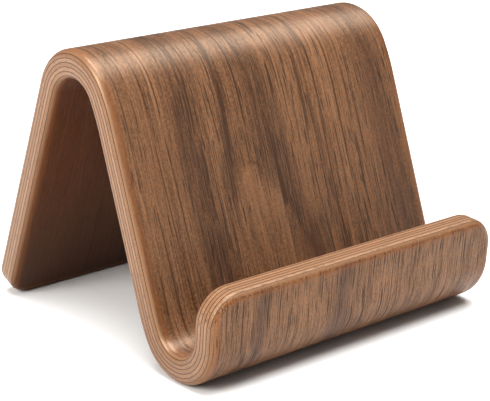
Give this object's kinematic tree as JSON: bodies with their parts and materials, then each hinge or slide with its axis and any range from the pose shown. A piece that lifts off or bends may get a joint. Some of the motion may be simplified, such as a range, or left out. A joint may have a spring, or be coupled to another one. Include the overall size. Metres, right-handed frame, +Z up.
{
  "type": "phone stand",
  "caption": "Bentwood phone stand: one strip of walnut plywood folded into a lip, a trough, a sloping back rest, a ridge and a rear leg.",
  "frame": {"origin": "on the surface the stand rests on, under the middle of the stand", "axes": "+X across the strip, -Y towards the lip at the front, +Z up"},
  "size_m": [0.11, 0.1098, 0.0857],
  "materials": {
    "face_walnut": "satin clear lacquer over straight walnut grain with a cathedral figure",
    "core_walnut": "sanded veneer edges under satin clear lacquer",
    "glue": "dark cured resin glue, sanded flush"
  },
  "bodies": {
    "root": {"back_veneer": "face_walnut", "face_veneer": "face_walnut", "core_veneer_1": "core_walnut", "core_veneer_2": "core_walnut", "core_veneer_3": "core_walnut", "core_veneer_4": "core_walnut", "core_veneer_5": "core_walnut", "glue_line_1": "glue", "glue_line_2": "glue", "glue_line_3": "glue", "glue_line_4": "glue", "glue_line_5": "glue", "glue_line_6": "glue"}
  },
  "joints": []
}
